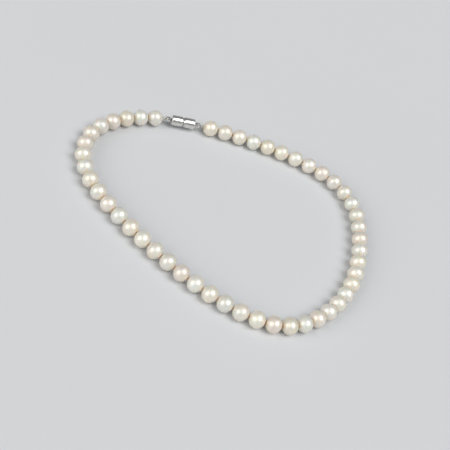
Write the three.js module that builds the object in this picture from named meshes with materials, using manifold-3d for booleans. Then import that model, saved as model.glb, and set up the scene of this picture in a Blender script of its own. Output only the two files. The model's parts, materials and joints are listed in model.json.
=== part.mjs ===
// A knotted single-strand pearl necklace, closed by a magnetic barrel clasp and laid in a loop.
// Millimetres, +Z up, lying on z = 0. The strand's front is towards -Y and its clasp is at the back, towards +Y.
// The strand is a closed chain of straight links. A link is one pearl from knot to knot, and the chain
// bends at the knots. Beyond each end pearl a loop of french wire carries one half of the clasp by its eye.

import * as THREE from "three";
import { mergeVertices } from "three/addons/utils/BufferGeometryUtils.js";
import Module from "manifold-3d";

const wasm = await Module();
wasm.setup();

// ---- Driving dimensions ----

const PEARLS = 49;
const PEARL_LENGTH = 8.6;
const PEARL_WIDTH = 9.0;
const KNOT_GAP = 0.3;
const DRILL_DIAMETER = 1.0;
const COUNTERSINK_DIAMETER = 1.8;
const COUNTERSINK_DEPTH = 0.6;

const THREAD_DIAMETER = 0.4;
const KNOT_DIAMETER = 1.1;
const KNOT_LENGTH = 1.0;

const WIRE_DIAMETER = 0.7;
const WIRE_LOOP_LENGTH = 3.6;
const WIRE_LOOP_HALF_HEIGHT = 1.15;
const WIRE_END_GAP = 0.35;
// How far apart the loop's arms are, as shares of their widest: at the pearl, and a way along the loop.
const WIRE_START_SPREAD = 0.45;
const WIRE_NEAR_SPREAD = 0.9;
const WIRE_NEAR_SHARE = 0.35;

const CLASP_DIAMETER = 6.0;
const CLASP_HALF_LENGTH = 8.7;
const CLASP_FACE_GAP = 0.5;
const CLASP_WALL = 0.7;
const CLASP_FACE_DIAMETER = 5.3;
const CLASP_CHAMFER_LENGTH = 0.6;
const CUP_BACK = 1.9;
const CUP_BACK_WALL = 0.9;
const CUP_SHOULDER_RADIUS = 1.0;
const CUP_HOLE_DIAMETER = 1.9;
const EYE_OUTER_RADIUS = 1.75;
const EYE_HOLE_RADIUS = 0.95;
const EYE_THICKNESS = 0.8;
const EYE_NECK_WIDTH = 1.0;
const EYE_HEAD_WIDTH = 2.4;
const EYE_HEAD_LENGTH = 0.4;
const MAGNET_DIAMETER = 4.0;
const MAGNET_RECESS = 0.3;
const PART_CLEARANCE = 0.3;

// The loop's shape as it lies, drawn through eight points from the front centre round by the right.
// The whole drawing is scaled until the strand closes on itself.
const LOOP_POINTS = [
  [0, 0],
  [45, 26],
  [66, 82],
  [39, 117],
  [-33, 142],
  [-80, 130],
  [-88, 90],
  [-45, 26],
];

// ---- Sizes worked out from them ----

const LINK = PEARL_LENGTH + KNOT_GAP;
const MOUTH_ANGLE = Math.asin(COUNTERSINK_DIAMETER / PEARL_WIDTH);
const MOUTH = (PEARL_LENGTH / 2) * Math.cos(MOUTH_ANGLE);
const END_LINK = LINK / 2 + MOUTH + WIRE_LOOP_LENGTH;
const CLASP_SPAN = 2 * CLASP_HALF_LENGTH + CLASP_FACE_GAP;
const SIDE_LINKS = (PEARLS - 1) / 2;
const MAGNET_START = CUP_BACK + CUP_BACK_WALL + 2 * PART_CLEARANCE + EYE_HEAD_LENGTH;

const PEARL_SEGMENTS = 16;
const PEARL_ROWS = 8;
const THREAD_SIDES = 6;
const KNOT_ROWS = 4;
const WIRE_SIDES = 8;
const WIRE_STEPS = 20;
const CLASP_SEGMENTS = 24;
const SHOULDER_STEPS = 3;
const LOOP_TENSION = 0.5;
const LOOP_SAMPLES = 4000;
const SMALLEST_SCALE = 0.5;
const LARGEST_SCALE = 2.0;
const CLOSING_ROUNDS = 40;
const MERGE_DISTANCE = 1e-4;

const UP = new THREE.Vector3(0, 0, 1);
const LATHE_AXIS = new THREE.Vector3(0, 1, 0);

// ---- Materials ----

const nacre = new THREE.MeshStandardMaterial({ color: 0xeee8dd, roughness: 0.22, metalness: 0.0 });
const silk = new THREE.MeshStandardMaterial({ color: 0xf2ebe0, roughness: 0.8, metalness: 0.0 });
const silver = new THREE.MeshStandardMaterial({ color: 0xd8d8d6, roughness: 0.18, metalness: 1.0 });
const nickel = new THREE.MeshStandardMaterial({ color: 0xa8a9ad, roughness: 0.3, metalness: 1.0 });

// ---- The chain's layout ----

// The loop as a ring of evenly spaced points at the height of the pearls' centres.
function sampleLoop(scale) {
  const points = LOOP_POINTS.map(([x, y]) => new THREE.Vector3(x * scale, y * scale, PEARL_WIDTH / 2));
  const curve = new THREE.CatmullRomCurve3(points, true, "catmullrom", LOOP_TENSION);
  return Array.from({ length: LOOP_SAMPLES }, (_, i) => curve.getPoint(i / LOOP_SAMPLES));
}

// The point a fractional number of samples along the ring.
function pointAt(ring, position) {
  const whole = Math.floor(position);
  const from = ring[((whole % LOOP_SAMPLES) + LOOP_SAMPLES) % LOOP_SAMPLES];
  const to = ring[(((whole + 1) % LOOP_SAMPLES) + LOOP_SAMPLES) % LOOP_SAMPLES];
  return from.clone().lerp(to, position - whole);
}

// The next place on the ring that is one straight chord away, going forwards (+1) or backwards (-1).
function stepChord(ring, position, chord, direction) {
  const start = pointAt(ring, position);
  let before = 0;
  let after = 0;
  let here = position;
  while (after < chord) {
    before = after;
    here += direction;
    after = start.distanceTo(pointAt(ring, here));
  }
  return here - direction * ((after - chord) / (after - before));
}

// The pivots of one side, from the front pearl's knot out to the clasp half's eye.
function walkSide(ring, direction) {
  let position = stepChord(ring, 0, LINK / 2, direction);
  const pivots = [pointAt(ring, position)];
  for (let link = 1; link <= SIDE_LINKS; link += 1) {
    const chord = link === SIDE_LINKS ? END_LINK : LINK;
    position = stepChord(ring, position, chord, direction);
    pivots.push(pointAt(ring, position));
  }
  return { pivots, travelled: Math.abs(position) };
}

// Both sides at the scale where exactly the clasp's length is left open between the two eyes.
function layChain() {
  let low = SMALLEST_SCALE;
  let high = LARGEST_SCALE;
  let right;
  let left;
  for (let round = 0; round < CLOSING_ROUNDS; round += 1) {
    const scale = (low + high) / 2;
    const ring = sampleLoop(scale);
    right = walkSide(ring, 1);
    left = walkSide(ring, -1);
    const crossed = right.travelled + left.travelled > LOOP_SAMPLES;
    const opening = right.pivots.at(-1).distanceTo(left.pivots.at(-1));
    if (crossed || opening < CLASP_SPAN) {
      low = scale;
    } else {
      high = scale;
    }
  }
  return { right: right.pivots, left: left.pivots };
}

// ---- Shapes ----

// A closed manifold solid from a geometry, and a geometry from a solid.
function toSolid(geometry) {
  const bare = geometry.clone();
  bare.deleteAttribute("normal");
  bare.deleteAttribute("uv");
  const merged = mergeVertices(bare, MERGE_DISTANCE);
  const vertProperties = new Float32Array(merged.attributes.position.array);
  const triVerts = new Uint32Array(merged.index.array);
  return new wasm.Manifold(new wasm.Mesh({ numProp: 3, vertProperties, triVerts }));
}

function toGeometry(solid) {
  const mesh = solid.getMesh();
  const geometry = new THREE.BufferGeometry();
  geometry.setAttribute("position", new THREE.BufferAttribute(mesh.vertProperties, 3));
  geometry.setIndex(new THREE.BufferAttribute(mesh.triVerts, 1));
  geometry.computeVertexNormals();
  return geometry;
}

// A nearly round pearl, drilled along Y through its shorter way, with a small countersink at each mouth
// for the knot.
function pearlGeometry() {
  const drillRadius = DRILL_DIAMETER / 2;
  const profile = [];
  for (let row = 0; row <= PEARL_ROWS; row += 1) {
    const angle = Math.PI - MOUTH_ANGLE - (row / PEARL_ROWS) * (Math.PI - 2 * MOUTH_ANGLE);
    const radius = (PEARL_WIDTH / 2) * Math.sin(angle);
    profile.push(new THREE.Vector2(radius, (PEARL_LENGTH / 2) * Math.cos(angle)));
  }
  profile.push(new THREE.Vector2(drillRadius, MOUTH - COUNTERSINK_DEPTH));
  profile.push(new THREE.Vector2(drillRadius, COUNTERSINK_DEPTH - MOUTH));
  profile.push(profile[0].clone());
  return new THREE.LatheGeometry(profile, PEARL_SEGMENTS);
}

// A shape turned about Y, moved to a place and turned to run along a direction.
function aimed(geometry, place, direction) {
  const turned = geometry.clone();
  turned.applyQuaternion(new THREE.Quaternion().setFromUnitVectors(LATHE_AXIS, direction));
  turned.translate(place.x, place.y, place.z);
  return turned;
}

// The silk: a straight run from each point to the next, with a knot at every point but the two ends.
function threadGeometry(points) {
  const radius = THREAD_DIAMETER / 2;
  const knot = new THREE.SphereGeometry(0.5, THREAD_SIDES, KNOT_ROWS);
  knot.scale(KNOT_DIAMETER, KNOT_LENGTH, KNOT_DIAMETER);
  let solid = null;
  for (let i = 1; i < points.length; i += 1) {
    const along = points[i].clone().sub(points[i - 1]);
    const middle = points[i].clone().add(points[i - 1]).multiplyScalar(0.5);
    const direction = along.clone().normalize();
    const run = toSolid(
      aimed(new THREE.CylinderGeometry(radius, radius, along.length(), THREAD_SIDES), middle, direction),
    );
    solid = solid ? solid.add(run) : run;
    if (i < points.length - 1) {
      const onward = points[i + 1].clone().sub(points[i - 1]).normalize();
      solid = solid.add(toSolid(aimed(knot, points[i], onward)));
    }
  }
  return toGeometry(solid);
}

// French wire: a coiled-wire tube bent into a loop through the clasp's eye. Both its ends meet the end
// pearl. Here +X runs from the pearl's mouth to the eye, and the loop stands upright.
function frenchWireGeometry() {
  const length = WIRE_LOOP_LENGTH;
  const height = WIRE_LOOP_HALF_HEIGHT;
  const upperArm = [
    new THREE.Vector3(WIRE_END_GAP, 0, WIRE_START_SPREAD * height),
    new THREE.Vector3(WIRE_NEAR_SHARE * length, 0, WIRE_NEAR_SPREAD * height),
    new THREE.Vector3(length - height, 0, height),
  ];
  const lowerArm = upperArm.map((p) => new THREE.Vector3(p.x, 0, -p.z)).reverse();
  const path = new THREE.CatmullRomCurve3([...upperArm, new THREE.Vector3(length, 0, 0), ...lowerArm]);
  const section = new THREE.Shape();
  section.absarc(0, 0, WIRE_DIAMETER / 2, 0, 2 * Math.PI, false);
  return new THREE.ExtrudeGeometry(section, {
    curveSegments: WIRE_SIDES / 2,
    steps: WIRE_STEPS,
    extrudePath: path,
  });
}

// The clasp's eye: a flat stamping with a ring, a neck through the cup's back and a head inside it.
// Here the ring's centre is the origin and +X runs towards the clasp's face.
function eyeGeometry() {
  const neck = EYE_NECK_WIDTH / 2;
  const head = EYE_HEAD_WIDTH / 2;
  const neckAngle = Math.asin(neck / EYE_OUTER_RADIUS);
  const headStart = CUP_BACK + CUP_BACK_WALL + PART_CLEARANCE;
  const headEnd = headStart + EYE_HEAD_LENGTH;
  const outline = new THREE.Shape();
  outline.absarc(0, 0, EYE_OUTER_RADIUS, neckAngle, 2 * Math.PI - neckAngle, false);
  outline.lineTo(headStart, -neck);
  outline.lineTo(headStart, -head);
  outline.lineTo(headEnd, -head);
  outline.lineTo(headEnd, head);
  outline.lineTo(headStart, head);
  outline.lineTo(headStart, neck);
  outline.closePath();
  const hole = new THREE.Path();
  hole.absarc(0, 0, EYE_HOLE_RADIUS, 0, 2 * Math.PI, true);
  outline.holes.push(hole);
  const geometry = new THREE.ExtrudeGeometry(outline, {
    depth: EYE_THICKNESS,
    bevelEnabled: false,
    curveSegments: CLASP_SEGMENTS,
  });
  geometry.translate(0, 0, -EYE_THICKNESS / 2);
  return geometry;
}

// The clasp's cup: a shell with a round-shouldered back, a hole there for the eye's neck, and an open face.
// It is turned about Y, with the eye at the origin.
function cupGeometry() {
  const outer = CLASP_DIAMETER / 2;
  const inner = outer - CLASP_WALL;
  const hole = CUP_HOLE_DIAMETER / 2;
  const shoulder = CUP_SHOULDER_RADIUS;
  const profile = [new THREE.Vector2(hole, CUP_BACK)];
  for (let step = 0; step <= SHOULDER_STEPS; step += 1) {
    const angle = (step / SHOULDER_STEPS) * (Math.PI / 2);
    const r = outer - shoulder + shoulder * Math.sin(angle);
    const y = CUP_BACK + shoulder - shoulder * Math.cos(angle);
    profile.push(new THREE.Vector2(r, y));
  }
  profile.push(new THREE.Vector2(outer, CLASP_HALF_LENGTH - CLASP_CHAMFER_LENGTH));
  profile.push(new THREE.Vector2(CLASP_FACE_DIAMETER / 2, CLASP_HALF_LENGTH));
  profile.push(new THREE.Vector2(inner, CLASP_HALF_LENGTH));
  profile.push(new THREE.Vector2(inner, CUP_BACK + CUP_BACK_WALL));
  profile.push(new THREE.Vector2(hole, CUP_BACK + CUP_BACK_WALL));
  profile.push(profile[0].clone());
  return new THREE.LatheGeometry(profile, CLASP_SEGMENTS);
}

// The clasp's magnet: a disc glued into the cup, just under its rim.
function magnetGeometry() {
  const length = CLASP_HALF_LENGTH - MAGNET_RECESS - MAGNET_START;
  const geometry = new THREE.CylinderGeometry(
    MAGNET_DIAMETER / 2,
    MAGNET_DIAMETER / 2,
    length,
    CLASP_SEGMENTS,
  );
  geometry.translate(0, MAGNET_START + length / 2, 0);
  return geometry;
}

// ---- Assembly ----

function namedMesh(name, geometry, material) {
  const mesh = new THREE.Mesh(geometry, material);
  mesh.name = name;
  return mesh;
}

// A group at a point, turned about the vertical so that its own +X runs along a level direction.
function groupAlong(place, direction) {
  const group = new THREE.Group();
  group.position.copy(place);
  group.quaternion.setFromAxisAngle(UP, Math.atan2(direction.y, direction.x));
  return group;
}

// A shape turned about Y is laid over so that it runs along its group's +X.
function laidAlongX(mesh) {
  mesh.rotation.z = -Math.PI / 2;
  return mesh;
}

// One pearl on the link that starts at a knot.
function placePearl(number, geometry, from, towards) {
  const direction = towards.clone().sub(from).normalize();
  const centre = from.clone().addScaledVector(direction, LINK / 2);
  const group = groupAlong(centre, direction);
  group.add(laidAlongX(namedMesh(`pearl_${String(number).padStart(2, "0")}`, geometry, nacre)));
  return group;
}

// All the pearls: the front one between the two sides' first knots, then each side's out to its end.
function placePearls(chain) {
  const geometry = pearlGeometry();
  const front = (PEARLS + 1) / 2;
  const pearls = [placePearl(front, geometry, chain.left[0], chain.right[0])];
  for (let link = 1; link <= SIDE_LINKS; link += 1) {
    pearls.push(placePearl(front - link, geometry, chain.left[link - 1], chain.left[link]));
    pearls.push(placePearl(front + link, geometry, chain.right[link - 1], chain.right[link]));
  }
  return pearls;
}

// Where the thread stops, just inside an end pearl's last mouth.
function threadEnd(pivots) {
  const from = pivots.at(-2);
  const direction = pivots.at(-1).clone().sub(from).normalize();
  return from.clone().addScaledVector(direction, LINK / 2 + MOUTH - PART_CLEARANCE);
}

// The thread runs from the left end pearl round by the front to the right one.
function placeThread(chain) {
  const left = [...chain.left.slice(0, -1), threadEnd(chain.left)].reverse();
  const right = [...chain.right.slice(0, -1), threadEnd(chain.right)];
  return namedMesh("silk_thread", threadGeometry([...left, ...right]), silk);
}

// The loop of french wire that leaves an end pearl's mouth and carries the eye.
function placeFrenchWire(side, pivots) {
  const eye = pivots.at(-1);
  const direction = eye.clone().sub(pivots.at(-2)).normalize();
  const mouth = eye.clone().addScaledVector(direction, -WIRE_LOOP_LENGTH);
  const group = groupAlong(mouth, direction);
  group.add(namedMesh(`french_wire_${side}`, frenchWireGeometry(), silver));
  return group;
}

// One half of the clasp, from its own eye towards the other half's.
function placeClaspHalf(side, eye, otherEye) {
  const group = groupAlong(eye, otherEye.clone().sub(eye));
  group.add(namedMesh(`clasp_eye_${side}`, eyeGeometry(), silver));
  group.add(laidAlongX(namedMesh(`clasp_cup_${side}`, cupGeometry(), silver)));
  group.add(laidAlongX(namedMesh(`clasp_magnet_${side}`, magnetGeometry(), nickel)));
  return group;
}

// The whole necklace, moved so that the centre of its box is over the origin and it lies on z = 0.
function buildNecklace() {
  const chain = layChain();
  const leftEye = chain.left.at(-1);
  const rightEye = chain.right.at(-1);
  const necklace = new THREE.Group();
  necklace.name = "pearl_necklace";
  necklace.add(...placePearls(chain));
  necklace.add(placeThread(chain));
  necklace.add(placeFrenchWire("left", chain.left));
  necklace.add(placeFrenchWire("right", chain.right));
  necklace.add(placeClaspHalf("left", leftEye, rightEye));
  necklace.add(placeClaspHalf("right", rightEye, leftEye));
  const box = new THREE.Box3().setFromObject(necklace, true);
  const centre = box.getCenter(new THREE.Vector3());
  necklace.position.set(-centre.x, -centre.y, -box.min.z);
  return necklace;
}

const necklace = buildNecklace();

export default necklace;
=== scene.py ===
"""A knotted strand of pearls with a magnetic barrel clasp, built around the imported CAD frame.

Every place comes from the frame: a pearl's centre from its box, and its drill axis from the hinges
at its two ends. Places are in metres. Each piece's mesh is made in millimetres, about its own
origin and with its length along X, and is turned into metres when it is finished.
"""

import json
import math
import random
from bisect import bisect_right

import bmesh
import bpy
from mathutils import Matrix, Vector, noise

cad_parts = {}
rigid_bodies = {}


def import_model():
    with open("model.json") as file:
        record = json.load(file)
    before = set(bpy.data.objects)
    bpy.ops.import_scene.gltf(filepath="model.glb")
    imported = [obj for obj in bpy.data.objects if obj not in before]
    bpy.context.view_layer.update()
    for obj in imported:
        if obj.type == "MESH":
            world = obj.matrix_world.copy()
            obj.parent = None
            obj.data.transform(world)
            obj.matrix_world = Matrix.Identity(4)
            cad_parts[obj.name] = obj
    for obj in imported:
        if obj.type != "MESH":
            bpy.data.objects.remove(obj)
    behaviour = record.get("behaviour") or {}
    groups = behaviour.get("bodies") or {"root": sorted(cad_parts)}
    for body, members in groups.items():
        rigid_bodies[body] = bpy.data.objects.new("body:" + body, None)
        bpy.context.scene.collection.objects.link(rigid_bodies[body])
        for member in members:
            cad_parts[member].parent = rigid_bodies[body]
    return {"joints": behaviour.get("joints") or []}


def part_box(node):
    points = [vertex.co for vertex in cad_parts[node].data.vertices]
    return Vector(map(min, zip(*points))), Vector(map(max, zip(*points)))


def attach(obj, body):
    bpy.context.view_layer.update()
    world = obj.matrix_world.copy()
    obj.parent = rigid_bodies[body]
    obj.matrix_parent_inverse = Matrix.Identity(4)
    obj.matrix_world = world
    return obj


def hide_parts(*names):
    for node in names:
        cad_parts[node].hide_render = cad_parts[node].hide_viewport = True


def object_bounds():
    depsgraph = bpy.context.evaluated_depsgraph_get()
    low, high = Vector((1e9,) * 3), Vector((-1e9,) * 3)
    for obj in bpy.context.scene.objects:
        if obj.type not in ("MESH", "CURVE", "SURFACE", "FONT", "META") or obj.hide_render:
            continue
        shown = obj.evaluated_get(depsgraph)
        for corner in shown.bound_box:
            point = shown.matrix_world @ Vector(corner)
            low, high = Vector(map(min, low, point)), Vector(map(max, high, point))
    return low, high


MM = 0.001
SEED = 4909

PEARLS = 49
FRONT = 25

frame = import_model()
cad_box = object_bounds()


# ---- Camera ----

CAMERA_AZIMUTH = math.radians(34.37)
CAMERA_ELEVATION = math.radians(44.92)
CAMERA_ROLL = math.radians(27.58)
CAMERA_DISTANCE = 508.93 * MM
CAMERA_LENS = 76.48
CAMERA_SENSOR = 36.0
CAMERA_NEAR_LIMIT = 10 * MM
CAMERA_AIM = (-6.99 * MM, -6.49 * MM)


def box_centre(low, high):
    return (Vector(low) + Vector(high)) / 2


def camera_axes():
    """The camera's own X, Y and backward directions, in the frame."""
    forward = Vector(
        (
            math.sin(CAMERA_AZIMUTH) * math.cos(CAMERA_ELEVATION),
            math.cos(CAMERA_AZIMUTH) * math.cos(CAMERA_ELEVATION),
            -math.sin(CAMERA_ELEVATION),
        )
    )
    level = Vector((math.cos(CAMERA_AZIMUTH), -math.sin(CAMERA_AZIMUTH), 0))
    upward = level.cross(forward)
    right = math.cos(CAMERA_ROLL) * level + math.sin(CAMERA_ROLL) * upward
    up = math.cos(CAMERA_ROLL) * upward - math.sin(CAMERA_ROLL) * level
    return right, up, -forward


def add_camera():
    right, up, back = camera_axes()
    target = Vector((*CAMERA_AIM, box_centre(*cad_box).z))
    data = bpy.data.cameras.new("camera")
    data.lens = CAMERA_LENS
    data.sensor_width = CAMERA_SENSOR
    data.clip_start = CAMERA_NEAR_LIMIT
    camera = bpy.data.objects.new("camera", data)
    turn = Matrix((right, up, back)).transposed().to_4x4()
    camera.matrix_world = Matrix.Translation(target + back * CAMERA_DISTANCE) @ turn
    bpy.context.scene.collection.objects.link(camera)
    bpy.context.scene.camera = camera


# ---- Materials ----

# A Mix node holds the sockets for every data type. These are its factor and its two colours.
MIX_COLOUR_INPUTS = (0, 6, 7)
MIX_COLOUR_OUTPUT = 2

ROSY_CLOUD = (0.91, 0.79, 0.68, 1)
SILVERY_CLOUD = (0.80, 0.81, 0.75, 1)
MILKY_SPOT = (0.95, 0.925, 0.85, 1)
# The mouth colour is a painted glow: warm light, as if it came through the nacre round each drill
# hole.
MOUTH_PAINTED_GLOW = (0.98, 0.77, 0.55, 1)
MOUTH_PAINTED_GLOW_STRENGTH = 0.85
GRAIN_SHARE = 0.3
SILK_DARK = (0.70, 0.60, 0.48, 1)
SILK_LIGHT = (0.90, 0.83, 0.74, 1)
SILVER_CLEAN = (0.80, 0.79, 0.76, 1)
SILVER_TARNISHED = (0.52, 0.50, 0.46, 1)
NICKEL_CLEAN = (0.56, 0.56, 0.57, 1)
NICKEL_TARNISHED = (0.40, 0.39, 0.38, 1)
FLOOR_DARK = (0.65, 0.66, 0.67, 1)
FLOOR_LIGHT = (0.67, 0.68, 0.69, 1)
# Scales of the noise behind a metal's marks: quick along X for marks that run round it, and quick
# across X for marks that run along it.
MARKS_ROUND_X = (1.0, 0.1, 0.1)
MARKS_ALONG_X = (0.1, 1.0, 1.0)


class Tree:
    """A material's node tree, with short calls for the nodes used here."""

    def __init__(self, name):
        self.material = bpy.data.materials.new(name)
        self.material.use_nodes = True
        self.nodes = self.material.node_tree.nodes
        self.links = self.material.node_tree.links
        self.shader = self.nodes["Principled BSDF"]

    def set_inputs(self, **sockets):
        for name, value in sockets.items():
            self.shader.inputs[name.replace("_", " ")].default_value = value

    def feed(self, socket, value):
        self.links.new(value, self.shader.inputs[socket])

    def add(self, kind, **settings):
        node = self.nodes.new(kind)
        for name, value in settings.items():
            setattr(node, name, value)
        return node

    def attribute(self, name, output="Vector"):
        return self.add("ShaderNodeAttribute", attribute_name=name).outputs[output]

    def noise(self, place, scale, detail=2.0, roughness=0.5, distortion=0.0):
        node = self.add("ShaderNodeTexNoise")
        self.links.new(place, node.inputs["Vector"])
        node.inputs["Scale"].default_value = scale
        node.inputs["Detail"].default_value = detail
        node.inputs["Roughness"].default_value = roughness
        node.inputs["Distortion"].default_value = distortion
        return node.outputs["Fac"]

    def ranged(self, value, source, target):
        """A value moved from one range to another, each given as (at its start, at its end)."""
        node = self.add("ShaderNodeMapRange")
        self.links.new(value, node.inputs["Value"])
        for name, (start, end) in (("From", source), ("To", target)):
            node.inputs[f"{name} Min"].default_value = start
            node.inputs[f"{name} Max"].default_value = end
        return node.outputs["Result"]

    def maths(self, operation, first, second):
        node = self.add("ShaderNodeMath", operation=operation)
        for socket, value in zip(node.inputs, (first, second)):
            self.fill(socket, value)
        return node.outputs["Value"]

    def mixed(self, factor, first, second):
        node = self.add("ShaderNodeMix", data_type="RGBA")
        for index, value in zip(MIX_COLOUR_INPUTS, (factor, first, second)):
            self.fill(node.inputs[index], value)
        return node.outputs[MIX_COLOUR_OUTPUT]

    def fill(self, socket, value):
        """Gives a socket a plain value, or links another node's output to it."""
        if isinstance(value, (int, float, tuple)):
            socket.default_value = value
        else:
            self.links.new(value, socket)

    def bump(self, height, distance, strength=1.0):
        node = self.add("ShaderNodeBump")
        node.inputs["Strength"].default_value = strength
        node.inputs["Distance"].default_value = distance
        self.links.new(height, node.inputs["Height"])
        self.feed("Normal", node.outputs["Normal"])


def nacre_material():
    """Nacre: each pearl's own tint with soft clouds, a painted amber glow at the mouths, and a
    deep satin gloss.
    """
    tree = Tree("nacre")
    place = tree.attribute("nacre_place")
    body = tree.attribute("nacre_tint", "Color")
    # The mouth share says how much of the painted amber glow each point takes.
    mouth = tree.attribute("nacre_mouth_painted_glow", "Fac")
    clouds = tree.noise(place, scale=0.14, detail=1.0)
    mottle = tree.noise(place, scale=0.5, roughness=0.4)
    grain = tree.noise(place, scale=2.2)
    rosy = tree.ranged(clouds, source=(0.5, 0.8), target=(0.0, 0.6))
    silvery = tree.ranged(clouds, source=(0.48, 0.2), target=(0.0, 0.6))
    milky = tree.ranged(mottle, source=(0.45, 0.75), target=(0.0, 0.2))
    # Painted glow: amber light painted into the base colour round each mouth.
    painted_glow_share = tree.maths("MULTIPLY", mouth, MOUTH_PAINTED_GLOW_STRENGTH)
    colour = tree.mixed(rosy, body, ROSY_CLOUD)
    colour = tree.mixed(silvery, colour, SILVERY_CLOUD)
    colour = tree.mixed(milky, colour, MILKY_SPOT)
    colour = tree.mixed(painted_glow_share, colour, MOUTH_PAINTED_GLOW)
    tree.feed("Base Color", colour)
    tree.feed("Roughness", tree.ranged(mottle, source=(0.3, 0.7), target=(0.42, 0.52)))
    height = tree.maths("ADD", mottle, tree.maths("MULTIPLY", grain, GRAIN_SHARE))
    tree.bump(height, distance=0.06 * MM, strength=0.6)
    tree.set_inputs(
        IOR=1.62,
        Metallic=0.42,
        Subsurface_Weight=0.45,
        Subsurface_Radius=(1.0, 0.7, 0.42),
        Subsurface_Scale=1.2 * MM,
        Coat_Weight=0.95,
        Coat_Roughness=0.28,
        Coat_IOR=1.52,
        Coat_Tint=(1.0, 0.99, 0.965, 1),
        Specular_Tint=(1.0, 0.94, 0.84, 1),
        Thin_Film_Thickness=310.0,
        Thin_Film_IOR=1.5,
        Sheen_Weight=0.1,
        Sheen_Roughness=0.4,
        Sheen_Tint=(1.0, 0.78, 0.56, 1),
    )
    return tree.material


def silk_material():
    """Cream beading silk with fine fibres."""
    tree = Tree("silk")
    place = tree.attribute("twist_place")
    fibre = tree.noise(place, scale=9.0, detail=3.0, distortion=0.4)
    tree.feed("Base Color", tree.mixed(fibre, SILK_DARK, SILK_LIGHT))
    tree.feed("Roughness", tree.ranged(fibre, source=(0.3, 0.7), target=(0.55, 0.8)))
    tree.bump(fibre, distance=0.02 * MM)
    tree.set_inputs(
        Sheen_Weight=0.5,
        Sheen_Roughness=0.4,
        Subsurface_Weight=0.1,
        Subsurface_Scale=0.3 * MM,
    )
    return tree.material


def metal_material(name, clean, tarnished, roughness, marks):
    """A plated metal with soft turning marks and a little tarnish."""
    tree = Tree(name)
    place = tree.attribute("metal_place")
    stretch = tree.add("ShaderNodeMapping")
    stretch.inputs["Scale"].default_value = marks
    tree.links.new(place, stretch.inputs["Vector"])
    lines = tree.noise(stretch.outputs["Vector"], scale=6.0, detail=3.0)
    tarnish = tree.noise(place, scale=0.7, detail=4.0, roughness=0.6)
    stained = tree.ranged(tarnish, source=(0.45, 0.7), target=(0.0, 0.6))
    tree.feed("Base Color", tree.mixed(stained, clean, tarnished))
    wear = tree.maths("MULTIPLY", tree.maths("ADD", lines, tarnish), 0.5)
    tree.feed("Roughness", tree.ranged(wear, source=(0.35, 0.65), target=roughness))
    tree.bump(lines, distance=0.01 * MM, strength=0.5)
    tree.set_inputs(Metallic=1.0)
    return tree.material


def floor_material():
    """A plain pale matt surface."""
    tree = Tree("floor")
    place = tree.add("ShaderNodeTexCoord").outputs["Object"]
    haze = tree.noise(place, scale=3.0)
    tree.feed("Base Color", tree.mixed(haze, FLOOR_DARK, FLOOR_LIGHT))
    tree.set_inputs(Roughness=0.85, Specular_IOR_Level=0.2)
    return tree.material


# ---- Meshes ----

ATTRIBUTE_FIELDS = {"FLOAT": "value", "FLOAT_VECTOR": "vector", "FLOAT_COLOR": "color"}
CREASE_ANGLE = math.radians(35)


def full_turn(steps):
    """Evenly spaced angles all the way round."""
    return [2 * math.pi * step / steps for step in range(steps)]


def mesh_from(name, vertices, faces):
    mesh = bpy.data.meshes.new(name)
    mesh.from_pydata(vertices, [], faces)
    mesh.polygons.foreach_set("use_smooth", [True] * len(mesh.polygons))
    mesh.update()
    return mesh


def ring_mesh(name, rings, capped=False):
    """A surface through rings of equally many points.

    Capped, it ends in a face at the first and at the last ring. Otherwise the last ring joins the
    first one.
    """
    sides = len(rings[0])
    faces = []
    for row in range(len(rings) - 1 if capped else len(rings)):
        here, onward = row * sides, ((row + 1) % len(rings)) * sides
        for side in range(sides):
            beside = (side + 1) % sides
            faces.append((here + side, here + beside, onward + beside, onward + side))
    if capped:
        faces.append(tuple(reversed(range(sides))))
        faces.append(tuple(range((len(rings) - 1) * sides, len(rings) * sides)))
    return mesh_from(name, [point for ring in rings for point in ring], faces)


def revolved(profile, sides):
    """Rings about X from a list of (x, radius)."""
    turns = full_turn(sides)
    return [
        [Vector((x, radius * math.cos(turn), radius * math.sin(turn))) for turn in turns]
        for x, radius in profile
    ]


def tube_rings(path, radius, sides):
    """Rings of a round tube along a list of points, with a frame that doesn't spin."""
    turns = full_turn(sides)
    rings = []
    normal = None
    for i, point in enumerate(path):
        before, after = path[max(i - 1, 0)], path[min(i + 1, len(path) - 1)]
        along = (after - before).normalized()
        if normal is None:
            normal = along.orthogonal().normalized()
        normal = (normal - along * normal.dot(along)).normalized()
        across = along.cross(normal)
        rings.append(
            [
                point + radius * (math.cos(turn) * normal + math.sin(turn) * across)
                for turn in turns
            ]
        )
    return rings


def join_meshes(name, meshes):
    """One mesh from several."""
    vertices, faces = [], []
    for mesh in meshes:
        start = len(vertices)
        vertices += [vertex.co.copy() for vertex in mesh.vertices]
        faces += [[start + i for i in polygon.vertices] for polygon in mesh.polygons]
        bpy.data.meshes.remove(mesh)
    return mesh_from(name, vertices, faces)


def store(mesh, name, kind, numbers):
    """Keeps numbers at the mesh's points, where the materials read them."""
    layer = mesh.attributes.new(name, kind, "POINT")
    layer.data.foreach_set(ATTRIBUTE_FIELDS[kind], numbers)


def store_places(mesh, name, places):
    store(mesh, name, "FLOAT_VECTOR", [number for place in places for number in place])


def into_metres(mesh):
    mesh.transform(Matrix.Scale(MM, 4))
    mesh.update()


def finish_mesh(mesh, layer):
    """Stores each point's own place, in millimetres, and turns the mesh into metres."""
    store_places(mesh, layer, [vertex.co.copy() for vertex in mesh.vertices])
    into_metres(mesh)
    return mesh


def crease_edges(mesh):
    """Keeps an edge crisp where its faces meet at more than the crease angle."""
    work = bmesh.new()
    work.from_mesh(mesh)
    for edge in work.edges:
        edge.smooth = len(edge.link_faces) == 2 and edge.calc_face_angle() < CREASE_ANGLE
    work.to_mesh(mesh)
    work.free()


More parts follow.
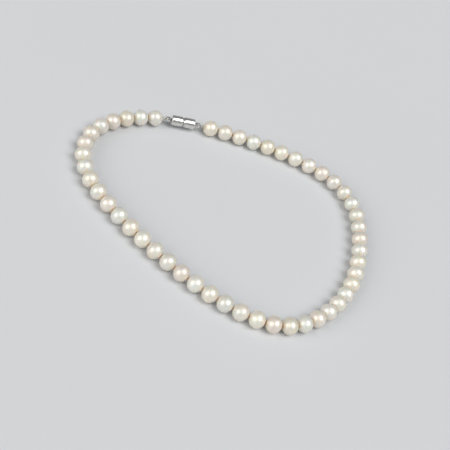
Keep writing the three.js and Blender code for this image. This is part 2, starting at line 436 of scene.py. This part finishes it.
def place_piece(mesh, name, body, material, origin, direction, node):
    """An object whose X runs along a direction, riding on a body in place of a CAD node."""
    piece = bpy.data.objects.new(name, mesh)
    across = Vector((0, 0, 1)).cross(direction).normalized()
    turn = Matrix((direction, across, direction.cross(across))).transposed().to_4x4()
    piece.matrix_world = Matrix.Translation(origin) @ turn
    bpy.context.scene.collection.objects.link(piece)
    mesh.materials.append(material)
    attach(piece, body)
    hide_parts(node)


# ---- The chain's layout, from the frame's joints ----


def chain_links():
    """Each pearl's two hinge points, the one towards the front pearl first.

    The front pearl's own two are its knots on the two sides.
    """
    inner = {number: [] for number in range(1, PEARLS + 1)}
    outer = {number: [] for number in range(1, PEARLS + 1)}
    for joint in frame["joints"]:
        for name, points in ((joint["child"], inner), (joint["parent"], outer)):
            if name.startswith("link_"):
                points[int(name[-2:])].append(Vector(joint["pos_m"]))
    return {number: (*inner[number], *outer[number]) for number in inner}


# ---- Pearls ----

PEARL_HALF_LENGTH = 4.37
PEARL_HALF_WIDTH = 4.6
MOUTH_RADIUS = 0.89
MOUTH_DEPTH = 0.6
# How far out from the drill axis the painted amber glow reaches.
MOUTH_PAINTED_GLOW_RADIUS = 2.7
LIP = 0.06
DRILL_RADIUS = 0.5
PEARL_SIDES = 72
PEARL_ROWS = 44

# Tints of the whole pearl. A cream one is shifted by up to the warm shift.
ROSY_PEARLS = (4, 7, 12, 18, 24, 27, 35, 41)
ROSY_TINT = (0.88, 0.81, 0.725)
SILVERY_PEARLS = (2, 9, 13, 21, 26, 30, 38, 46)
SILVERY_TINT = (0.835, 0.84, 0.775)
CREAM_TINT = (0.865, 0.85, 0.79)
WARM_SHIFT = (0.02, -0.014, -0.085)
SHADES = (-0.042, 0.03)

# How a skin differs from a true round. Pairs are the least and the most of a random draw.
NOISE_SPREAD = 50
WAVE_HEIGHT = 0.07
WAVE_RATE = 0.22
RIPPLE_HEIGHT = 0.022
RIPPLE_RATE = 0.7
MOST_OVAL = 0.012
GROWTH_RINGS = 3
GROWTH_RING_REACH = 3.2
GROWTH_RING_DEPTH = (0.01, 0.034)
GROWTH_RING_WIDTH = 0.28
DEEP_RING_CHANCE = 0.45
DEEP_RING_PLACE = (1.0, 2.9)
DEEP_RING_DEPTH = (0.05, 0.09)
PITS = (1, 3)
PIT_LEAN = 0.8
PIT_SIZE = (0.3, 0.75)
PIT_DEPTH = 0.07
SKIN_MARGIN = 0.5


def clamped(value):
    return max(0.0, min(1.0, value))


def pearl_profile():
    """The nacre's outline, as (x, radius): its outside, and back through the drilled hole."""
    start = math.asin(MOUTH_RADIUS / PEARL_HALF_WIDTH)
    profile = []
    for row in range(PEARL_ROWS + 1):
        angle = start + (math.pi - 2 * start) * row / PEARL_ROWS
        profile.append((-PEARL_HALF_LENGTH * math.cos(angle), PEARL_HALF_WIDTH * math.sin(angle)))
    mouth = PEARL_HALF_LENGTH * math.cos(start)
    throat = mouth - MOUTH_DEPTH
    bore = [
        (mouth - 0.3 * LIP, MOUTH_RADIUS - LIP),
        (throat, DRILL_RADIUS + LIP),
        (throat - 2 * LIP, DRILL_RADIUS),
    ]
    return profile + bore + [(-x, radius) for x, radius in reversed(bore)]


def pearl_tint(number, rng):
    shade = rng.uniform(*SHADES)
    if number in ROSY_PEARLS:
        tint = ROSY_TINT
    elif number in SILVERY_PEARLS:
        tint = SILVERY_TINT
    else:
        warm = rng.uniform(0, 1)
        tint = [channel + shift * warm for channel, shift in zip(CREAM_TINT, WARM_SHIFT)]
    return [channel + shade for channel in tint] + [1.0]


def growth_shape(rng):
    """One pearl's own height over a true round at a point, as a function, and its noise offset."""
    offset = Vector([rng.uniform(-NOISE_SPREAD, NOISE_SPREAD) for _ in range(3)])
    rings = [
        (rng.uniform(-GROWTH_RING_REACH, GROWTH_RING_REACH), rng.uniform(*GROWTH_RING_DEPTH))
        for _ in range(GROWTH_RINGS)
    ]
    if rng.random() < DEEP_RING_CHANCE:
        place = rng.choice((-1, 1)) * rng.uniform(*DEEP_RING_PLACE)
        rings.append((place, rng.uniform(*DEEP_RING_DEPTH)))
    pits = []
    for _ in range(rng.randint(*PITS)):
        lean = rng.uniform(-PIT_LEAN, PIT_LEAN)
        spot = Vector((lean, rng.uniform(-1, 1), rng.uniform(-1, 1))).normalized()
        pits.append((spot * PEARL_HALF_WIDTH, rng.uniform(*PIT_SIZE)))
    flat_side = rng.uniform(0, 2 * math.pi)
    oval = rng.uniform(0.0, MOST_OVAL)

    def height(point):
        value = WAVE_HEIGHT * (noise.noise(point * WAVE_RATE + offset) - 0.5)
        value += RIPPLE_HEIGHT * noise.noise(point * RIPPLE_RATE + offset)
        around = math.atan2(point.z, point.y)
        value -= PEARL_HALF_WIDTH * oval * math.cos(around - flat_side) ** 2
        for x, depth in rings:
            value -= depth * math.exp(-(((point.x - x) / GROWTH_RING_WIDTH) ** 2))
        for spot, size in pits:
            value -= PIT_DEPTH * math.exp(-((point - spot).length_squared / size**2))
        return value

    return height, offset


def pearl_mesh(number, rng):
    """A pearl with its growth shape on the outside, which fades out towards the mouths."""
    height, offset = growth_shape(rng)
    rings = revolved(pearl_profile(), PEARL_SIDES)
    places, painted_glows = [], []
    for row, ring in enumerate(rings):
        for point in ring:
            reach = math.hypot(point.y, point.z)
            # The share of painted amber glow: most at the mouth, none beyond the glow radius.
            painted_glow = (MOUTH_PAINTED_GLOW_RADIUS - reach) / (MOUTH_PAINTED_GLOW_RADIUS - MOUTH_RADIUS)
            places.append(point + offset)
            painted_glows.append(clamped(painted_glow) ** 2)
            if row <= PEARL_ROWS:
                share = clamped((reach - MOUTH_RADIUS) / SKIN_MARGIN)
                point += point.normalized() * (height(point) * share)
    mesh = ring_mesh(f"nacre_pearl_{number:02d}", rings)
    store_places(mesh, "nacre_place", places)
    store(mesh, "nacre_mouth_painted_glow", "FLOAT", painted_glows)
    store(mesh, "nacre_tint", "FLOAT_COLOR", pearl_tint(number, rng) * len(mesh.vertices))
    into_metres(mesh)
    return mesh


def add_pearls(chain, nacre):
    rng = random.Random(SEED)
    for number in range(1, PEARLS + 1):
        inner, outer = chain[number]
        node = f"pearl_{number:02d}"
        place_piece(
            pearl_mesh(number, rng),
            f"nacre_{node}",
            f"link_{number:02d}",
            nacre,
            box_centre(*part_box(node)),
            (outer - inner).normalized(),
            node,
        )


# ---- Silk ----

KNOT_RADIUS = 0.55
KNOT_HALF_LENGTH = 0.45
KNOT_CORD_RADIUS = 0.15
KNOT_STEPS = 72
# How far a run of silk stops short of the next knot's centre, and of an end pearl's mouth.
RUN_CLEARANCE = 0.62
MOUTH_CLEARANCE = 0.5
PLIES = 2
PLY_RADIUS = 0.115
PLY_TWIST = 0.9
PLY_STEPS_PER_MM = 9
CORD_SIDES = 7


def knot_path():
    """The overhand knot, a trefoil whose flat side faces along X."""
    across = (KNOT_RADIUS - KNOT_CORD_RADIUS) / 3
    along = KNOT_HALF_LENGTH - KNOT_CORD_RADIUS
    return [
        Vector(
            (
                -along * math.sin(3 * turn),
                across * (math.sin(turn) + 2 * math.sin(2 * turn)),
                across * (math.cos(turn) - 2 * math.cos(2 * turn)),
            )
        )
        for turn in full_turn(KNOT_STEPS)
    ]


def knot_mesh():
    """The knot as a closed tube. Its rings turn step by step, so that the last meets the first."""
    path = knot_path()
    rings = tube_rings([path[-1], *path, path[0]], KNOT_CORD_RADIUS, CORD_SIDES)[1:-1]
    first, last = rings[0], rings[-1]
    offset = min(range(CORD_SIDES), key=lambda side: (last[side] - first[0]).length)
    turned = []
    for row, ring in enumerate(rings):
        centre = sum(ring, Vector()) / len(ring)
        axis = (ring[0] - centre).cross(ring[1] - centre).normalized()
        angle = 2 * math.pi * offset / CORD_SIDES * row / (len(rings) - 1)
        turn = Matrix.Rotation(angle, 3, axis)
        turned.append([centre + turn @ (point - centre) for point in ring])
    return ring_mesh("knot", turned)


def ply_meshes(path_at, length):
    """Two plies twisted round each other along a path.

    The path is a function from a distance along it to its point and two cross directions there.
    """
    steps = int(length * PLY_STEPS_PER_MM)
    meshes = []
    for ply in range(PLIES):
        points = []
        for step in range(steps + 1):
            distance = length * step / steps
            centre, side, lift = path_at(distance)
            turn = 2 * math.pi * (distance / PLY_TWIST + ply / PLIES)
            points.append(centre + PLY_RADIUS * (math.cos(turn) * side + math.sin(turn) * lift))
        rings = tube_rings(points, PLY_RADIUS, CORD_SIDES)
        meshes.append(ring_mesh("ply", rings, capped=True))
    return meshes


def straight_path(start):
    """The path along X from a start."""

    def at(distance):
        return Vector((start + distance, 0, 0)), Vector((0, 1, 0)), Vector((0, 0, 1))

    return at


def add_silk(chain, silk):
    """Each link's run of silk, with the knot at its inner end. The front pearl's has no knot."""
    for number in range(1, PEARLS + 1):
        inner, outer = chain[number]
        is_front, is_end = number == FRONT, number in (1, PEARLS)
        start = RUN_CLEARANCE if is_front else 0.0
        stop = (outer - inner).length / MM - (MOUTH_CLEARANCE if is_end else RUN_CLEARANCE)
        meshes = ply_meshes(straight_path(start), stop - start)
        if not is_front:
            meshes.append(knot_mesh())
        name = f"silk_{number:02d}"
        place_piece(
            finish_mesh(join_meshes(name, meshes), "twist_place"),
            name,
            f"link_{number:02d}",
            silk,
            inner,
            (outer - inner).normalized(),
            "silk_thread",
        )


# ---- French wire ----

COIL_RADIUS = 0.25
COIL_WIRE_RADIUS = 0.1
COIL_PITCH = 0.205
COIL_STEPS_PER_TURN = 14
COIL_SIDES = 6
LOOP_HALF_HEIGHT = 1.15
SAMPLES_PER_POINT = 240
# Points (x, z) of the loop's upper arm, from the hinge in the pearl's mouth. The coil starts at
# the mouth, and its silk goes on into it.
WIRE_ARM = ((0.14, 0.36), (0.53, 0.56), (1.28, 0.93))
SILK_ARM = ((-0.16, 0.2), *WIRE_ARM)


def smooth_points(points):
    """A uniform Catmull-Rom curve through points."""
    ends = [2 * points[0] - points[1], *points, 2 * points[-1] - points[-2]]
    fine = []
    for i in range(len(points) - 1):
        a, b, c, d = ends[i : i + 4]
        for step in range(SAMPLES_PER_POINT):
            t = step / SAMPLES_PER_POINT
            square = (2 * a - 5 * b + 4 * c - d) * t**2
            cube = (3 * b - a - 3 * c + d) * t**3
            fine.append(0.5 * (2 * b + (c - a) * t + square + cube))
    fine.append(points[-1].copy())
    return fine


class Path:
    """A smooth curve in the XZ plane."""

    def __init__(self, points):
        self.points = smooth_points(points)
        self.marks = [0.0]
        for before, after in zip(self.points, self.points[1:]):
            self.marks.append(self.marks[-1] + (after - before).length)
        self.length = self.marks[-1]

    def at(self, distance):
        """The point at a distance along the curve, and two directions across it there."""
        high = min(bisect_right(self.marks, distance), len(self.marks) - 1)
        low = high - 1
        share = (distance - self.marks[low]) / (self.marks[high] - self.marks[low])
        centre = self.points[low].lerp(self.points[high], share)
        along = (self.points[high] - self.points[low]).normalized()
        side = Vector((0, 1, 0))
        return centre, side, along.cross(side)


def loop_path(arm, length):
    """The loop along its upper arm, round through the eye and back along the lower one."""
    bow_x = length - LOOP_HALF_HEIGHT
    upper = [Vector((x, 0, z)) for x, z in (*arm, (bow_x, LOOP_HALF_HEIGHT))]
    bow = [
        Vector(
            (bow_x + LOOP_HALF_HEIGHT * math.sin(turn), 0, LOOP_HALF_HEIGHT * math.cos(turn))
        )
        for turn in (math.pi / 4, math.pi / 2, 3 * math.pi / 4)
    ]
    lower = [Vector((point.x, 0, -point.z)) for point in reversed(upper)]
    return Path(upper + bow + lower)


def coil_mesh(path):
    turns = path.length / COIL_PITCH
    steps = int(turns * COIL_STEPS_PER_TURN)
    points = []
    for step in range(steps + 1):
        centre, side, lift = path.at(path.length * step / steps)
        turn = 2 * math.pi * turns * step / steps
        points.append(centre + COIL_RADIUS * (math.cos(turn) * side + math.sin(turn) * lift))
    return ring_mesh("coil", tube_rings(points, COIL_WIRE_RADIUS, COIL_SIDES), capped=True)


def add_french_wires(pivots, silver, silk):
    """At each end, the coil and the silk inside it."""
    for side in ("left", "right"):
        mouth, eye = pivots[f"wire_{side}_tilt"], pivots[f"clasp_{side}_turn"]
        along = eye - mouth
        length, direction, body = along.length / MM, along.normalized(), f"wire_{side}"
        coil = finish_mesh(coil_mesh(loop_path(WIRE_ARM, length)), "metal_place")
        name, node = f"wire_coil_{side}", f"french_wire_{side}"
        place_piece(coil, name, body, silver, mouth, direction, node)
        silk_path = loop_path(SILK_ARM, length)
        plies = ply_meshes(silk_path.at, silk_path.length)
        core = finish_mesh(join_meshes("core", plies), "twist_place")
        name, node = f"silk_end_{side}", "silk_thread"
        place_piece(core, name, body, silk, mouth, direction, node)


# ---- Clasp ----

# Places along X are from the centre of the half's own eye.
CUP_SIDES = 96
CUP_BACK = 1.9
CUP_WALL_END = 2.8
CUP_HOLE_RADIUS = 0.95
CUP_RADIUS = 3.0
CUP_SHOULDER = 1.0
CUP_BORE_RADIUS = 2.3
CUP_FACE = 8.7
CUP_FACE_RADIUS = 2.65
CUP_CHAMFER = 0.6
GROOVES = (4.0, 7.0, 7.4)
GROOVE_WIDTH = 0.16
GROOVE_DEPTH = 0.09
EDGE = 0.1
MAGNET_START = 3.8
MAGNET_FACE = 8.4
MAGNET_RADIUS = 2.0
MAGNET_CENTRE_RADIUS = 0.02
EYE_RADIUS = 1.75
EYE_HOLE_RADIUS = 0.95
EYE_HALF_THICKNESS = 0.4
EYE_NECK = 0.5
EYE_HEAD = 1.2
EYE_HEAD_START = 3.1
EYE_HEAD_END = 3.5
EYE_EDGE_STEPS = 3
ARC_STEPS = 8
CIRCLE_STEPS = 4 * ARC_STEPS
WELD_DISTANCE = 1e-4


def cup_profile():
    """The cup's outline, as (x, radius), round its shell and back to its start."""
    profile = [(CUP_BACK + EDGE, CUP_HOLE_RADIUS), (CUP_BACK, CUP_HOLE_RADIUS + EDGE)]
    for step in range(ARC_STEPS + 1):
        turn = math.pi / 2 * step / ARC_STEPS
        profile.append(
            (
                CUP_BACK + CUP_SHOULDER * (1 - math.cos(turn)),
                CUP_RADIUS - CUP_SHOULDER * (1 - math.sin(turn)),
            )
        )
    for x in GROOVES:
        half = GROOVE_WIDTH / 2
        profile += [
            (x - half - EDGE / 4, CUP_RADIUS),
            (x - half, CUP_RADIUS - GROOVE_DEPTH / 4),
            (x - half / 2, CUP_RADIUS - GROOVE_DEPTH),
            (x + half / 2, CUP_RADIUS - GROOVE_DEPTH),
            (x + half, CUP_RADIUS - GROOVE_DEPTH / 4),
            (x + half + EDGE / 4, CUP_RADIUS),
        ]
    profile += [
        (CUP_FACE - CUP_CHAMFER - EDGE, CUP_RADIUS),
        (CUP_FACE - CUP_CHAMFER + EDGE, CUP_RADIUS - EDGE * 0.7),
        (CUP_FACE - EDGE, CUP_FACE_RADIUS + EDGE * 0.5),
        (CUP_FACE, CUP_FACE_RADIUS - EDGE * 0.5),
        (CUP_FACE, CUP_BORE_RADIUS + EDGE / 2),
        (CUP_FACE - EDGE / 2, CUP_BORE_RADIUS),
        (CUP_WALL_END + EDGE, CUP_BORE_RADIUS),
        (CUP_WALL_END, CUP_BORE_RADIUS - EDGE),
        (CUP_WALL_END, CUP_HOLE_RADIUS + EDGE),
        (CUP_WALL_END - EDGE, CUP_HOLE_RADIUS),
    ]
    return profile


def magnet_profile():
    return [
        (MAGNET_START, MAGNET_CENTRE_RADIUS),
        (MAGNET_START, MAGNET_RADIUS - EDGE),
        (MAGNET_START + EDGE, MAGNET_RADIUS),
        (MAGNET_FACE - EDGE, MAGNET_RADIUS),
        (MAGNET_FACE - EDGE * 0.3, MAGNET_RADIUS - EDGE * 0.3),
        (MAGNET_FACE, MAGNET_RADIUS - EDGE),
        (MAGNET_FACE, MAGNET_RADIUS / 2),
        (MAGNET_FACE, MAGNET_CENTRE_RADIUS),
    ]


def eye_outline():
    """The stamping's outer edge: the ring, the neck and the head."""
    start = math.asin(EYE_NECK / EYE_RADIUS)
    points = []
    for step in range(CIRCLE_STEPS + 1):
        turn = start + (2 * math.pi - 2 * start) * step / CIRCLE_STEPS
        points.append((EYE_RADIUS * math.cos(turn), EYE_RADIUS * math.sin(turn)))
    head = [(EYE_HEAD_START, EYE_NECK), (EYE_HEAD_START, EYE_HEAD), (EYE_HEAD_END, EYE_HEAD)]
    return points + [(x, -y) for x, y in head] + head[::-1]


def eye_hole():
    return [
        (EYE_HOLE_RADIUS * math.cos(turn), EYE_HOLE_RADIUS * math.sin(turn))
        for turn in full_turn(CIRCLE_STEPS)
    ]


def eye_mesh():
    """A flat stamping with rolled edges, as a filled outline with a round hole."""
    curve = bpy.data.curves.new("eye", "CURVE")
    curve.dimensions = "2D"
    curve.fill_mode = "BOTH"
    curve.extrude = EYE_HALF_THICKNESS - EDGE
    curve.bevel_depth = EDGE
    curve.bevel_resolution = EYE_EDGE_STEPS
    curve.offset = -EDGE
    for outline in (eye_outline(), eye_hole()):
        spline = curve.splines.new("POLY")
        spline.points.add(len(outline) - 1)
        for point, (x, y) in zip(spline.points, outline):
            point.co = (x, y, 0, 1)
        spline.use_cyclic_u = True
    holder = bpy.data.objects.new("eye", curve)
    bpy.context.scene.collection.objects.link(holder)
    graph = bpy.context.evaluated_depsgraph_get()
    mesh = bpy.data.meshes.new_from_object(holder.evaluated_get(graph))
    bpy.data.objects.remove(holder)
    bpy.data.curves.remove(curve)
    work = bmesh.new()
    work.from_mesh(mesh)
    bmesh.ops.remove_doubles(work, verts=work.verts, dist=WELD_DISTANCE)
    bmesh.ops.recalc_face_normals(work, faces=work.faces)
    work.to_mesh(mesh)
    work.free()
    return mesh


def add_clasp(pivots, silver, nickel):
    """Each half, with its face towards the other half's eye."""
    for side, other in (("left", "right"), ("right", "left")):
        origin = pivots[f"clasp_{side}_turn"]
        direction = (pivots[f"clasp_{other}_turn"] - origin).normalized()
        cup = ring_mesh("cup", revolved(cup_profile(), CUP_SIDES))
        magnet = ring_mesh("magnet", revolved(magnet_profile(), CUP_SIDES), capped=True)
        for kind, mesh, slot, material in (
            ("cup", cup, "silver", silver),
            ("magnet", magnet, "nickel", nickel),
            ("eye", eye_mesh(), "silver", silver),
        ):
            finish_mesh(mesh, "metal_place")
            crease_edges(mesh)
            place_piece(
                mesh,
                f"barrel_{kind}_{side}",
                f"clasp_half_{side}",
                material,
                origin,
                direction,
                f"clasp_{kind}_{side}",
            )


# ---- Lights and floor ----

# The two keys are suns as wide as a near softbox, so that the floor stays evenly lit to the
# horizon. Each comes from a direction in the camera's own axes.
LEFT_KEY = (-0.58, 0.26, 0.77)
RIGHT_KEY = (0.67, 0.26, 0.69)
LEFT_STRENGTH = 1.3
RIGHT_STRENGTH = 1.82
KEY_ANGLE = math.radians(44)
# The surround is brightest at the horizon and fades towards the sky above.
WORLD_COLOUR = (0.88, 0.90, 0.93, 1)
HORIZON_STRENGTH = 0.73
SKY_STRENGTH = 0.28
HORIZON_START = 0.02
HORIZON_HEIGHT = 0.24
FLOOR_SIZE = 80.0
FLOOR_DROP = 0.12 * MM


def add_key(name, direction, strength):
    towards = sum((part * axis for part, axis in zip(direction, camera_axes())), Vector())
    data = bpy.data.lights.new(name, "SUN")
    data.angle = KEY_ANGLE
    data.energy = strength
    light = bpy.data.objects.new(name, data)
    light.matrix_world = towards.to_track_quat("Z", "Y").to_matrix().to_4x4()
    bpy.context.scene.collection.objects.link(light)


def add_surround():
    world = bpy.data.worlds.new("studio")
    world.use_nodes = True
    nodes, links = world.node_tree.nodes, world.node_tree.links
    background = nodes["Background"]
    background.inputs["Color"].default_value = WORLD_COLOUR
    direction = nodes.new("ShaderNodeTexCoord").outputs["Generated"]
    split = nodes.new("ShaderNodeSeparateXYZ")
    fade = nodes.new("ShaderNodeMapRange")
    fade.interpolation_type = "SMOOTHSTEP"
    fade.inputs["From Min"].default_value = HORIZON_START
    fade.inputs["From Max"].default_value = HORIZON_HEIGHT
    fade.inputs["To Min"].default_value = HORIZON_STRENGTH
    fade.inputs["To Max"].default_value = SKY_STRENGTH
    links.new(direction, split.inputs["Vector"])
    links.new(split.outputs["Z"], fade.inputs["Value"])
    links.new(fade.outputs["Result"], background.inputs["Strength"])
    bpy.context.scene.world = world


def add_floor():
    half = FLOOR_SIZE / 2
    mesh = bpy.data.meshes.new("floor")
    corners = [(-half, -half, 0), (half, -half, 0), (half, half, 0), (-half, half, 0)]
    mesh.from_pydata(corners, [], [(0, 1, 2, 3)])
    mesh.materials.append(floor_material())
    floor = bpy.data.objects.new("floor", mesh)
    floor.location.z = cad_box[0][2] - FLOOR_DROP
    bpy.context.scene.collection.objects.link(floor)


# ---- The scene ----

add_camera()
add_key("left_key", LEFT_KEY, LEFT_STRENGTH)
add_key("right_key", RIGHT_KEY, RIGHT_STRENGTH)
add_surround()
add_floor()
bpy.context.scene.view_settings.view_transform = "Standard"
chain = chain_links()
pivots = {joint["name"]: Vector(joint["pos_m"]) for joint in frame["joints"]}
silk = silk_material()
silver = metal_material("silver", SILVER_CLEAN, SILVER_TARNISHED, (0.14, 0.34), MARKS_ROUND_X)
nickel = metal_material("nickel", NICKEL_CLEAN, NICKEL_TARNISHED, (0.22, 0.42), MARKS_ALONG_X)
add_pearls(chain, nacre_material())
add_silk(chain, silk)
add_french_wires(pivots, silver, silk)
add_clasp(pivots, silver, nickel)
